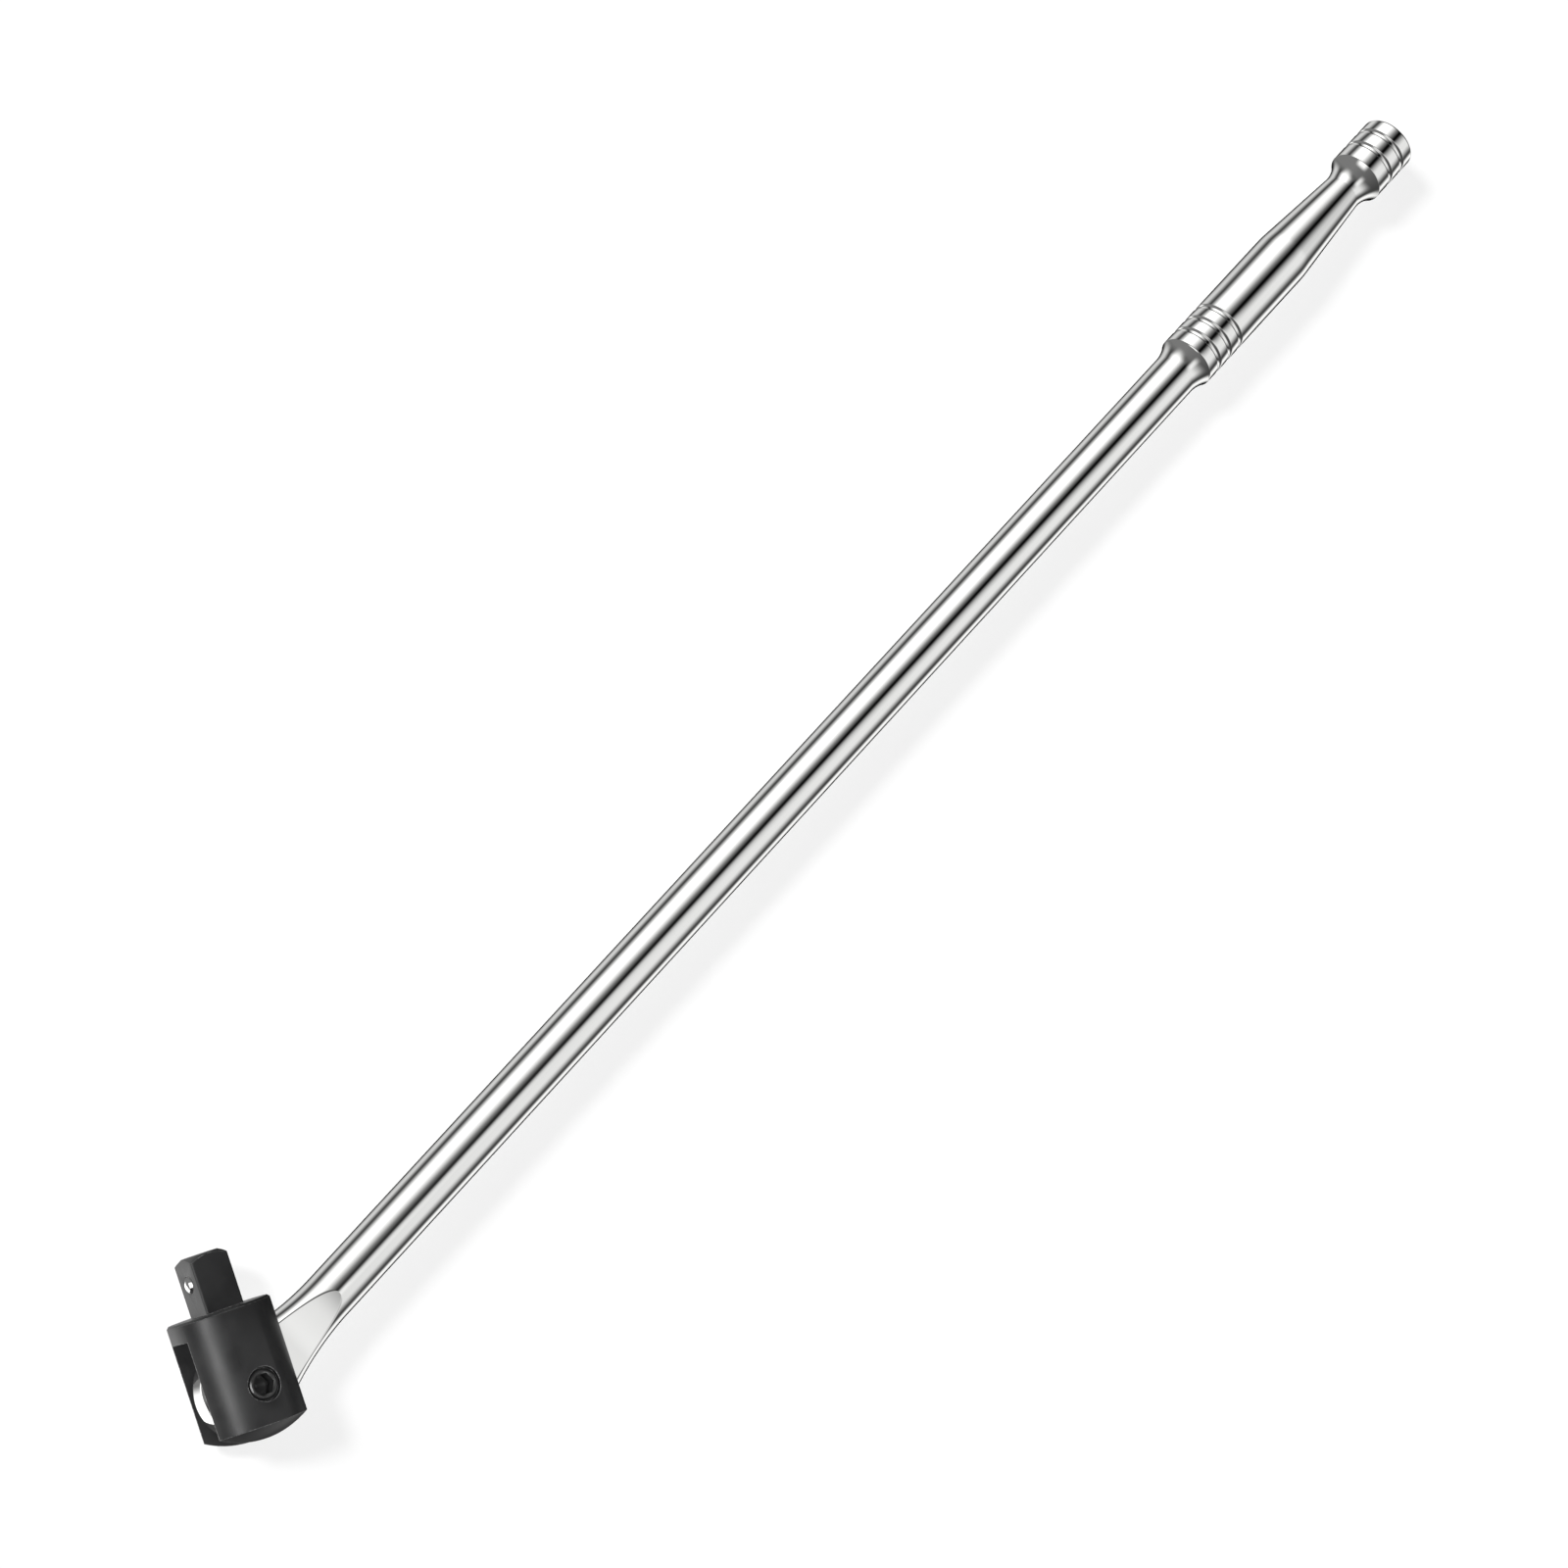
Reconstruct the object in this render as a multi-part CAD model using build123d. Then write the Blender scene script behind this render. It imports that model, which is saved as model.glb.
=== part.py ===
from build123d import *
import os
from math import sin, cos, tan, sqrt, radians, asin, pi

# Breaker bar, half-inch square drive, millimetres.
# Origin: centre of the drum's shoulder, at the root of the square drive.
# +X: parallel to the bar, to the end of the grip.  +Z: parallel to the hinge
# screw, to its hex socket.  The head is folded to its stop, with the drive
# tang HEAD_ANGLE away from +X, measured about +Z.
# Every piece is drawn with the hinge centre at zero, on the axis of the bar,
# and moved to the origin as it is written.

# ---------------------------------------------------------------- dimensions
HEAD_ANGLE = 64.0          # tang direction from +X at rest, degrees

# drum of the drive head (measured along the tang direction from the hinge)
DRUM_R = 16.0
DRUM_TOP = 24.4            # shoulder that a socket seats on
DRUM_RIM = -11.7           # end of the straight side
DOME_R = 30.5              # spherical foot
TOP_CHAMFER = 0.7
SLOT_HALF = 5.6            # half width of the slot for the tongue
SLOT_FLOOR = 18.5
SLOT_CORNER = 0.5          # break on the slot floor's outer edges

# square drive
TANG_SIDE = 12.6
TANG_LEN = 17.6
TANG_EDGE_R = 0.8
TANG_TIP_R = 5.6           # flat tip radius, the turned cone starts here
TANG_CONE = 30.0           # angle of the turned tip from the tip plane

# detent ball in the tang
BALL_R = 3.175
BALL_UP = 9.7              # above the shoulder
BALL_OUT = 1.3             # how far it stands proud of the face
BALL_POCKET_R = 3.30
BALL_POCKET_END = -4.2     # blind end of the cross hole
DETENT_COIL_R = 2.30
DETENT_WIRE = 0.60

# friction plunger in the slot floor
PLUNGER_R = 2.95
PLUNGER_BORE_R = 3.00
PLUNGER_BORE_END = 29.8
PLUNGER_TIP = 15.25
PLUNGER_BACK = 23.0
FRICTION_COIL_R = 2.10
FRICTION_WIRE = 0.70

# hinge screw
SCREW_R = 4.75             # shank
SCREW_BORE_R = 4.80
SCREW_FACE = 15.2          # end face of the head
SCREW_CHAMFER = 0.7
SCREW_MOUTH_R = 5.25       # counterbore that leaves the ring around the head
SCREW_MOUTH_DEPTH = 1.6    # below the end face
THREAD_R = 3.95
THREAD_BORE_R = 4.00
THREAD_END = -14.6
HEX_AF = 6.0
HEX_DEPTH = 5.0
HEX_LEAD_R = 3.65

# tongue
TONGUE_HALF = 5.4
TONGUE_END_R = 15.0
TONGUE_RIM_R = 3.0
RUNOUT_START = 19.0        # where the flat begins to rise
RUNOUT_R = 92.0
FLARE_START = 40.0         # where the round shaft begins to widen
FLARE_R = 100.8

# shaft and grip
SHAFT_R = 7.85
GRIP_R = 9.8
NECK_R_ARC = 13.5
SHOULDER_A, SHOULDER_B = 487.3, 494.6
GRIP_GROOVES = (500.6, 506.85, 513.1)
COLLAR_GROOVES = (605.1, 612.05)
GROOVE_HALF = 1.08         # half width at the surface
GROOVE_FLAT = 0.66         # half width of the flat bottom
GROOVE_DEPTH = 0.58
TAPER_A = 552.5
TAPER_SLOPE = 0.0797
NECK_A = 588.6
COLLAR_A = 598.1
BAR_END = 618.5
END_R = 0.9

os.makedirs("parts", exist_ok=True)


# ------------------------------------------------------------------- helpers
def revolve_x(edges):
    """Solid of revolution about X from a closed outline in the XY plane."""
    return revolve(make_face(Wire(edges)), Axis.X, 360)


def arc3(a, b, c):
    return ThreePointArc(a, b, c).edge()


def seg(a, b):
    return Edge.make_line(Vector(*a), Vector(*b))


def coil(radius, wire, length, turns):
    """Coil spring along +Z, its lowest wire centre at z = 0."""
    path = Helix(pitch=length / turns, height=length, radius=radius)
    section = Plane(origin=path @ 0, z_dir=path % 0) * Circle(wire / 2)
    return sweep(section, path=path)


def to_world(shape):
    """Head parts are drawn with the tang along +X, then turned to rest."""
    return Rot(0, 0, HEAD_ANGLE) * shape


# ------------------------------------------------------------------ handle bar
def flare_half(x):
    """Half width of the tongue where it widens from the shaft."""
    return SHAFT_R + FLARE_R - sqrt(FLARE_R ** 2 - (FLARE_START - x) ** 2)


def handle_bar():
    # outline of the shaft and grip, upper half
    e = []
    x0 = FLARE_START
    e.append(seg((x0, 0), (x0, SHAFT_R)))
    e.append(seg((x0, SHAFT_R), (SHOULDER_A, SHAFT_R)))
    run, rise = SHOULDER_B - SHOULDER_A, GRIP_R - 0.25 - SHAFT_R
    rf = (run ** 2 + rise ** 2) / (2 * rise)
    xm = SHOULDER_A + run * 0.55
    e.append(arc3((SHOULDER_A, SHAFT_R), (xm, SHAFT_R + rf - sqrt(rf ** 2 - (xm - SHOULDER_A) ** 2)), (SHOULDER_B, GRIP_R - 0.25)))
    last = (SHOULDER_B + 0.3, GRIP_R)
    e.append(seg((SHOULDER_B, GRIP_R - 0.25), last))
    bot = GROOVE_FLAT

    def groove(last, xc):
        pts = [last, (xc - GROOVE_HALF, GRIP_R), (xc - bot, GRIP_R - GROOVE_DEPTH), (xc + bot, GRIP_R - GROOVE_DEPTH), (xc + GROOVE_HALF, GRIP_R)]
        for a, b in zip(pts, pts[1:]):
            e.append(seg(a, b))
        return pts[-1]

    for xc in GRIP_GROOVES:
        last = groove(last, xc)
    # long taper to the neck
    a = asin(TAPER_SLOPE / sqrt(1 + TAPER_SLOPE ** 2))
    rb = 60.0
    tb = rb * tan(a / 2)
    p1 = (TAPER_A - tb, GRIP_R)
    p2 = (TAPER_A + tb * cos(a), GRIP_R - tb * sin(a))
    pm = (p1[0] + rb * sin(a / 2), GRIP_R - rb * (1 - cos(a / 2)))
    e.append(seg(last, p1))
    e.append(arc3(p1, pm, p2))
    neck = (NECK_A, GRIP_R - TAPER_SLOPE * (NECK_A - TAPER_A))
    e.append(seg(p2, neck))
    cx = neck[0] + NECK_R_ARC * sin(a)
    cr = neck[1] + NECK_R_ARC * cos(a)
    neck_r = lambda x: cr - sqrt(NECK_R_ARC ** 2 - (x - cx) ** 2)
    xe = COLLAR_A
    e.append(arc3(neck, ((neck[0] + xe) / 2, neck_r((neck[0] + xe) / 2)), (xe, neck_r(xe))))
    last = (xe + 0.35, GRIP_R)
    e.append(seg((xe, neck_r(xe)), last))
    for xc in COLLAR_GROOVES:
        last = groove(last, xc)
    q = (BAR_END - END_R, GRIP_R)
    e.append(seg(last, q))
    k = END_R * (1 - sqrt(0.5))
    e.append(arc3(q, (BAR_END - k, GRIP_R - k), (BAR_END, GRIP_R - END_R)))
    e.append(seg((BAR_END, GRIP_R - END_R), (BAR_END, 0)))
    e.append(seg((BAR_END, 0), (x0, 0)))
    bar = revolve_x(e)

    # widened tongue: ellipses that grow from the round shaft
    xs = [FLARE_START, 36.5, 33.0, 29.0, 25.0, 21.0, 17.0, 13.0, 9.0, 4.5]
    flare = loft([Plane.YZ.offset(x) * Ellipse(flare_half(x), SHAFT_R) for x in xs])
    # its two flats, with a long rounded run-out into the shaft
    rise = SHAFT_R + 0.6 - TONGUE_HALF
    dx = sqrt(RUNOUT_R ** 2 - (RUNOUT_R - rise) ** 2)
    xa, xb = RUNOUT_START, RUNOUT_START + dx
    xm = xa + dx * 0.5
    zm = TONGUE_HALF + RUNOUT_R - sqrt(RUNOUT_R ** 2 - (xm - xa) ** 2)
    prof = [
        seg((-2, -TONGUE_HALF), (-2, TONGUE_HALF)),
        seg((-2, TONGUE_HALF), (xa, TONGUE_HALF)),
        arc3((xa, TONGUE_HALF), (xm, zm), (xb, SHAFT_R + 0.6)),
        seg((xb, SHAFT_R + 0.6), (xb, -SHAFT_R - 0.6)),
        arc3((xb, -SHAFT_R - 0.6), (xm, -zm), (xa, -TONGUE_HALF)),
        seg((xa, -TONGUE_HALF), (-2, -TONGUE_HALF)),
    ]
    slab = extrude(Plane.XZ * make_face(Wire(prof)), 20, both=True)
    neck_part = (flare + bar) & (slab + Pos((xb + 700) / 2, 0, 0) * Box(700 - xb, 40, 40))
    # rounded end about the hinge
    disc = Cylinder(TONGUE_END_R, 2 * TONGUE_HALF)
    disc = fillet(disc.edges().filter_by(GeomType.CIRCLE), TONGUE_RIM_R)
    body = neck_part + disc
    body -= Cylinder(SCREW_BORE_R, 4 * TONGUE_HALF)
    return body


# ------------------------------------------------------------------ drive head
def drive_head():
    top = DRUM_TOP
    r_in = DRUM_R - TOP_CHAMFER
    cx = DRUM_RIM + sqrt(DOME_R ** 2 - DRUM_R ** 2)     # dome centre
    ang = asin(DRUM_R / DOME_R) / 2
    drum = revolve_x([
        seg((cx - DOME_R, 0), (top, 0)),
        seg((top, 0), (top, r_in)),
        seg((top, r_in), (top - TOP_CHAMFER, DRUM_R)),
        seg((top - TOP_CHAMFER, DRUM_R), (DRUM_RIM, DRUM_R)),
        arc3((DRUM_RIM, DRUM_R), (cx - DOME_R * cos(ang), DOME_R * sin(ang)), (cx - DOME_R, 0)),
    ])
    # square tang with rounded long edges and a turned tip
    h = TANG_SIDE / 2
    tip = top + TANG_LEN
    tang = Pos(top - 1 + (TANG_LEN + 1) / 2, 0, 0) * Box(TANG_LEN + 1, TANG_SIDE, TANG_SIDE)
    tang = fillet(tang.edges().filter_by(Axis.X), TANG_EDGE_R)
    rc = h * sqrt(2) + 0.5
    back = (rc - TANG_TIP_R) * tan(radians(TANG_CONE))
    turned = revolve_x([
        seg((top - 2, 0), (tip, 0)),
        seg((tip, 0), (tip, TANG_TIP_R)),
        seg((tip, TANG_TIP_R), (tip - back, rc)),
        seg((tip - back, rc), (top - 2, rc)),
        seg((top - 2, rc), (top - 2, 0)),
    ])
    body = drum + (tang & turned)

    # slot that straddles the tongue, open at both sides and at the foot
    x_low = -25.0
    slot = Pos((SLOT_FLOOR + x_low) / 2, 0, 0) * Box(SLOT_FLOOR - x_low, 60, 2 * SLOT_HALF)
    body -= slot
    # break on the slot floor's two outer edges
    c = SLOT_CORNER
    for s in (1, -1):
        w = [(SLOT_FLOOR - 0.01, s * (DRUM_R - c)), (SLOT_FLOOR - 0.01, s * (DRUM_R + 1)), (SLOT_FLOOR + c + 1, s * (DRUM_R + 1))]
        edges = [seg(w[0], w[1]), seg(w[1], w[2]), seg(w[2], w[0])]
        body -= extrude(make_face(Wire(edges)), SLOT_HALF, both=True)

    # hinge screw bores
    near = SCREW_FACE - SCREW_MOUTH_DEPTH
    body -= Pos(0, 0, near / 2 + 10) * Cylinder(SCREW_BORE_R, near + 20)
    body -= Pos(0, 0, near + 10) * Cylinder(SCREW_MOUTH_R, 20)
    body -= Pos(0, 0, -15) * Cylinder(THREAD_BORE_R, 30)
    body -= Pos(0, 0, -DRUM_R) * Cone(THREAD_BORE_R - 0.3, THREAD_BORE_R + 0.9, 1.2, rotation=(180, 0, 0))

    # detent ball pocket: a blind cross hole with a lip staked around the ball
    xb = top + BALL_UP
    yb = h - (BALL_R - BALL_OUT)
    body -= Pos(xb, (yb + BALL_POCKET_END) / 2, 0) * Cylinder(BALL_POCKET_R, yb - BALL_POCKET_END, rotation=(90, 0, 0))
    body -= Pos(xb, yb, 0) * Sphere(BALL_POCKET_R)

    # friction plunger bore in the slot floor
    a, b = SLOT_FLOOR - 1, PLUNGER_BORE_END
    body -= Pos((a + b) / 2, 0, 0) * Cylinder(PLUNGER_BORE_R, b - a, rotation=(0, 90, 0))
    return to_world(body)


# ----------------------------------------------------------------- hinge screw
def hinge_screw():
    f = SCREW_FACE
    c = SCREW_CHAMFER
    outline = Polyline(
        (0, f), (SCREW_R - c, f), (SCREW_R, f - c), (SCREW_R, -SLOT_HALF), (THREAD_R, -SLOT_HALF),
        (THREAD_R, THREAD_END + 0.6), (THREAD_R - 0.6, THREAD_END), (0, THREAD_END), (0, f))
    body = revolve(Plane.XZ * make_face(outline), Axis.Z, 360)
    hexagon = RegularPolygon(HEX_AF / 2 / cos(pi / 6), 6, rotation=90)
    body -= Pos(0, 0, f - HEX_DEPTH) * extrude(hexagon, HEX_DEPTH + 1)
    body -= Pos(0, 0, f - 0.35) * Cone(3.0, HEX_LEAD_R, 0.7)
    body -= Pos(0, 0, f - HEX_DEPTH - 0.6) * Cone(0.4, 2.6, 1.2)
    return to_world(body)


# ------------------------------------------------------------- detent and spring
def detent_ball():
    yb = TANG_SIDE / 2 - (BALL_R - BALL_OUT)
    return to_world(Pos(DRUM_TOP + BALL_UP, yb, 0) * Sphere(BALL_R))


def detent_spring():
    yb = TANG_SIDE / 2 - (BALL_R - BALL_OUT)
    lo = BALL_POCKET_END + DETENT_WIRE / 2 + 0.03
    hi = yb - sqrt((BALL_R + DETENT_WIRE / 2) ** 2 - DETENT_COIL_R ** 2) - 0.05
    s = coil(DETENT_COIL_R, DETENT_WIRE, hi - lo, 4.5)
    return to_world(Pos(DRUM_TOP + BALL_UP, lo, 0) * Rot(-90, 0, 0) * s)


# ----------------------------------------------------------- friction plunger
def friction_plunger():
    r = PLUNGER_R
    t, b = PLUNGER_TIP, PLUNGER_BACK
    k = r * (1 - sqrt(0.5))
    body = revolve_x([
        seg((b, 0), (b, r - 0.3)),
        seg((b, r - 0.3), (b - 0.3, r)),
        seg((b - 0.3, r), (t + r, r)),
        arc3((t + r, r), (t + k, r * sqrt(0.5)), (t, 0)),
        seg((t, 0), (b, 0)),
    ])
    return to_world(body)


def friction_spring():
    lo = PLUNGER_BACK + FRICTION_WIRE / 2 + 0.03
    hi = PLUNGER_BORE_END - FRICTION_WIRE / 2 - 0.03
    s = coil(FRICTION_COIL_R, FRICTION_WIRE, hi - lo, 4.5)
    return to_world(Pos(lo, 0, 0) * Rot(0, 90, 0) * s)


# ------------------------------------------------------------------------ write
PARTS = {
    "handle_bar": handle_bar,
    "drive_head": drive_head,
    "hinge_screw": hinge_screw,
    "detent_ball": detent_ball,
    "detent_spring": detent_spring,
    "friction_plunger": friction_plunger,
    "friction_spring": friction_spring,
}

HINGE = (-DRUM_TOP * cos(radians(HEAD_ANGLE)), -DRUM_TOP * sin(radians(HEAD_ANGLE)), 0)

for name, make in PARTS.items():
    shape = Pos(*HINGE) * make()
    export_step(shape, "parts/" + name + ".step")
print("hinge centre, mm:", [round(v, 4) for v in HINGE])
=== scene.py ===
import bpy, bmesh, math
from math import sin, cos, tan, sqrt, radians, asin, atan2, pi
from mathutils import Matrix, Vector


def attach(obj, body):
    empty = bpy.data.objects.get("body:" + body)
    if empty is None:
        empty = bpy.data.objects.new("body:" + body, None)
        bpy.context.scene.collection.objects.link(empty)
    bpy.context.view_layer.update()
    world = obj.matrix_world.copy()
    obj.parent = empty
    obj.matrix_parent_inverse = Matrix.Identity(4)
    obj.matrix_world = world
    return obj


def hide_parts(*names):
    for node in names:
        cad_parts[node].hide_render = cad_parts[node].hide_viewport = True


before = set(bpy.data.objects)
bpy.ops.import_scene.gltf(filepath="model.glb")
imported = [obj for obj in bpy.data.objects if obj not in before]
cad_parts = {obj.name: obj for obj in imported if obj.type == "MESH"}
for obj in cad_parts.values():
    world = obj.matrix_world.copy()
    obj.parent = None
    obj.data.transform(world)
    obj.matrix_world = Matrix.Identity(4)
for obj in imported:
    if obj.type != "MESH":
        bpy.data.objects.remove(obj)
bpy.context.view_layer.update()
scene = bpy.context.scene

# ------------------------------------------------------------------ dimensions, mm
HEAD_ANGLE = radians(64.0)
DRUM_TOP = 24.4
HINGE = Vector((-DRUM_TOP * cos(HEAD_ANGLE), -DRUM_TOP * sin(HEAD_ANGLE), 0))
DRUM_R, DRUM_RIM, DOME_R, TOP_CHAMFER = 16.0, -11.7, 30.5, 0.7
SLOT_HALF, SLOT_FLOOR, SLOT_CORNER = 5.6, 18.5, 0.5
TANG_SIDE, TANG_LEN, TANG_EDGE_R, TANG_TIP_R, TANG_CONE = 12.6, 17.6, 0.8, 5.6, 30.0
BALL_R, BALL_UP, BALL_OUT, BALL_POCKET_R, BALL_POCKET_END = 3.175, 9.7, 1.3, 3.30, -4.2
PLUNGER_BORE_R, PLUNGER_BORE_END = 3.00, 29.8
SCREW_R, SCREW_BORE_R, SCREW_FACE, SCREW_CHAMFER = 4.75, 4.80, 15.2, 0.7
SCREW_MOUTH_R, SCREW_MOUTH_DEPTH = 5.25, 1.6
THREAD_R, THREAD_BORE_R, THREAD_END = 3.95, 4.00, -14.6
HEX_AF, HEX_DEPTH, HEX_LEAD_R = 6.0, 5.0, 3.65
TONGUE_HALF, TONGUE_END_R, TONGUE_RIM_R = 5.4, 15.0, 3.0
RUNOUT_START, RUNOUT_R, FLARE_START, FLARE_R = 19.0, 92.0, 40.0, 100.8
SHAFT_R, GRIP_R, NECK_R_ARC = 7.85, 9.8, 13.5
SHOULDER_A, SHOULDER_B = 487.3, 494.6
GRIP_GROOVES, COLLAR_GROOVES = (500.6, 506.85, 513.1), (605.1, 612.05)
GROOVE_HALF, GROOVE_FLAT, GROOVE_DEPTH = 1.08, 0.66, 0.58
TAPER_A, TAPER_SLOPE, NECK_A, COLLAR_A, BAR_END, END_R = 552.5, 0.0797, 588.6, 598.1, 618.5, 0.9

# drawn in mm with the hinge centre at zero; this carries a mesh into the row frame
TO_ROW = Matrix.Scale(0.001, 4) @ Matrix.Translation(HINGE)
# head parts are drawn with the tang along +X
TO_ROW_HEAD = TO_ROW @ Matrix.Rotation(HEAD_ANGLE, 4, "Z")


def new_object(name, mesh):
    ob = bpy.data.objects.new(name, mesh)
    scene.collection.objects.link(ob)
    return ob


# ------------------------------------------------------------------ node helpers
def material(name):
    m = bpy.data.materials.new(name)
    m.use_nodes = True
    nt = m.node_tree
    nt.nodes.clear()
    out = nt.nodes.new("ShaderNodeOutputMaterial")
    bs = nt.nodes.new("ShaderNodeBsdfPrincipled")
    nt.links.new(bs.outputs[0], out.inputs[0])
    return m, nt, bs


def node(nt, kind, **props):
    n = nt.nodes.new(kind)
    for k, v in props.items():
        if k.startswith("in_"):
            n.inputs[k[3:]].default_value = v
        else:
            setattr(n, k, v)
    return n


def math_node(nt, op, a, b=None, clamp=False):
    n = nt.nodes.new("ShaderNodeMath")
    n.operation = op
    n.use_clamp = clamp
    for i, v in enumerate((a, b)):
        if v is None:
            continue
        if isinstance(v, (int, float)):
            n.inputs[i].default_value = v
        else:
            nt.links.new(v, n.inputs[i])
    return n.outputs[0]


def ramp(nt, value, a, b, lo=0.0, hi=1.0, kind="SMOOTHSTEP"):
    n = nt.nodes.new("ShaderNodeMapRange")
    n.interpolation_type = kind
    n.clamp = True
    nt.links.new(value, n.inputs["Value"])
    n.inputs["From Min"].default_value = a
    n.inputs["From Max"].default_value = b
    n.inputs["To Min"].default_value = lo
    n.inputs["To Max"].default_value = hi
    return n.outputs["Result"]


def obj_coords(nt, scale):
    tc = nt.nodes.new("ShaderNodeTexCoord")
    mp = nt.nodes.new("ShaderNodeMapping")
    mp.inputs["Scale"].default_value = scale
    nt.links.new(tc.outputs["Object"], mp.inputs["Vector"])
    return mp.outputs["Vector"]


def noise(nt, vec, scale, detail=4.0, rough=0.5):
    n = nt.nodes.new("ShaderNodeTexNoise")
    n.inputs["Scale"].default_value = scale
    n.inputs["Detail"].default_value = detail
    n.inputs["Roughness"].default_value = rough
    nt.links.new(vec, n.inputs["Vector"])
    return n.outputs["Fac"]


def bump(nt, height, strength, distance, normal=None):
    n = nt.nodes.new("ShaderNodeBump")
    n.inputs["Strength"].default_value = strength
    n.inputs["Distance"].default_value = distance
    nt.links.new(height, n.inputs["Height"])
    if normal is not None:
        nt.links.new(normal, n.inputs["Normal"])
    return n.outputs["Normal"]


def mix_rgb(nt, fac, a, b):
    n = nt.nodes.new("ShaderNodeMix")
    n.data_type = "RGBA"
    nt.links.new(fac, n.inputs["Factor"])
    n.inputs["A"].default_value = (*a, 1)
    n.inputs["B"].default_value = (*b, 1)
    return n.outputs["Result"]


# ------------------------------------------------------------------ materials
def chrome_bar():
    """Polished chrome plate: faint turning marks round the bar, and a very light haze."""
    m, nt, bs = material("chrome_bar")
    bs.inputs["Metallic"].default_value = 1.0
    bs.inputs["Base Color"].default_value = (0.90, 0.90, 0.895, 1)
    haze = noise(nt, obj_coords(nt, (1, 1, 1)), 28.0, 5.0, 0.6)
    turned = noise(nt, obj_coords(nt, (2600, 60, 60)), 1.0, 3.0, 0.6)
    r = math_node(nt, "ADD", ramp(nt, haze, 0.3, 0.75, 0.030, 0.060), ramp(nt, turned, 0.3, 0.7, 0.0, 0.018))
    nt.links.new(r, bs.inputs["Roughness"])
    n1 = bump(nt, turned, 0.02, 0.00002)
    nt.links.new(n1, bs.inputs["Normal"])
    return m


def black_head():
    """Black phosphate on turned steel: satin, fine grain, edges lightened partly as rubbed wear and partly as a painted
    highlight.
    """
    m, nt, bs = material("black_head")
    bs.inputs["Metallic"].default_value = 0.0
    bs.inputs["Specular IOR Level"].default_value = 0.35
    co = obj_coords(nt, (1, 1, 1))
    cloud = noise(nt, co, 90.0, 4.0, 0.55)
    grain = noise(nt, co, 5200.0, 3.0, 0.6)
    # edges lightened towards light grey: partly rubbed wear, partly a painted highlight along the edges
    bev = node(nt, "ShaderNodeBevel", samples=6)
    bev.inputs["Radius"].default_value = 0.00035
    geo = nt.nodes.new("ShaderNodeNewGeometry")
    dot = nt.nodes.new("ShaderNodeVectorMath")
    dot.operation = "DOT_PRODUCT"
    nt.links.new(bev.outputs["Normal"], dot.inputs[0])
    nt.links.new(geo.outputs["Normal"], dot.inputs[1])
    edge = ramp(nt, dot.outputs["Value"], 0.995, 0.90, 0.0, 1.0)
    edge_wear_and_highlight = math_node(nt, "MULTIPLY", edge, ramp(nt, noise(nt, co, 900.0, 4.0, 0.6), 0.35, 0.75, 0.15, 1.0))
    base = mix_rgb(nt, ramp(nt, cloud, 0.3, 0.7), (0.0085, 0.0085, 0.0088), (0.0135, 0.0135, 0.0138))
    # the edge mask mixes the base towards light grey: painted edge highlight together with rubbed wear
    mx = nt.nodes.new("ShaderNodeMix")
    mx.data_type = "RGBA"
    nt.links.new(edge_wear_and_highlight, mx.inputs["Factor"])
    nt.links.new(base, mx.inputs["A"])
    mx.inputs["B"].default_value = (0.26, 0.26, 0.26, 1)
    nt.links.new(mx.outputs["Result"], bs.inputs["Base Color"])
    rg = math_node(nt, "ADD", ramp(nt, cloud, 0.3, 0.7, 0.36, 0.42), ramp(nt, grain, 0.3, 0.7, -0.02, 0.03))
    nt.links.new(rg, bs.inputs["Roughness"])
    nt.links.new(bump(nt, grain, 0.10, 0.00004, bev.outputs["Normal"]), bs.inputs["Normal"])
    return m


def black_screw():
    """Black oxide on a machined socket screw: a little glossier than the head."""
    m, nt, bs = material("black_screw")
    bs.inputs["Specular IOR Level"].default_value = 0.6
    co = obj_coords(nt, (1, 1, 1))
    cloud = noise(nt, co, 260.0, 4.0, 0.6)
    grain = noise(nt, co, 6500.0, 2.0, 0.5)
    base = mix_rgb(nt, ramp(nt, cloud, 0.3, 0.7), (0.008, 0.008, 0.008), (0.014, 0.014, 0.0142))
    nt.links.new(base, bs.inputs["Base Color"])
    nt.links.new(ramp(nt, cloud, 0.3, 0.7, 0.27, 0.36), bs.inputs["Roughness"])
    nt.links.new(bump(nt, grain, 0.07, 0.00003), bs.inputs["Normal"])
    return m


def bright_ball():
    """Polished bearing ball."""
    m, nt, bs = material("bright_ball")
    bs.inputs["Metallic"].default_value = 1.0
    bs.inputs["Base Color"].default_value = (0.88, 0.88, 0.88, 1)
    co = obj_coords(nt, (1, 1, 1))
    smear = noise(nt, co, 500.0, 4.0, 0.6)
    nt.links.new(ramp(nt, smear, 0.3, 0.75, 0.05, 0.10), bs.inputs["Roughness"])
    nt.links.new(bump(nt, noise(nt, co, 5000.0, 2.0), 0.015, 0.00002), bs.inputs["Normal"])
    return m


def drawn_steel(name, lo, hi, scale):
    """Plain steel with drawn or ground marks."""
    m, nt, bs = material(name)
    bs.inputs["Metallic"].default_value = 1.0
    co = obj_coords(nt, scale)
    marks = noise(nt, co, 1.0, 4.0, 0.65)
    cloud = noise(nt, obj_coords(nt, (1, 1, 1)), 400.0, 4.0)
    nt.links.new(mix_rgb(nt, ramp(nt, cloud, 0.3, 0.7), lo, hi), bs.inputs["Base Color"])
    nt.links.new(ramp(nt, marks, 0.3, 0.7, 0.24, 0.42), bs.inputs["Roughness"])
    nt.links.new(bump(nt, marks, 0.12, 0.00003), bs.inputs["Normal"])
    return m


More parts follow.
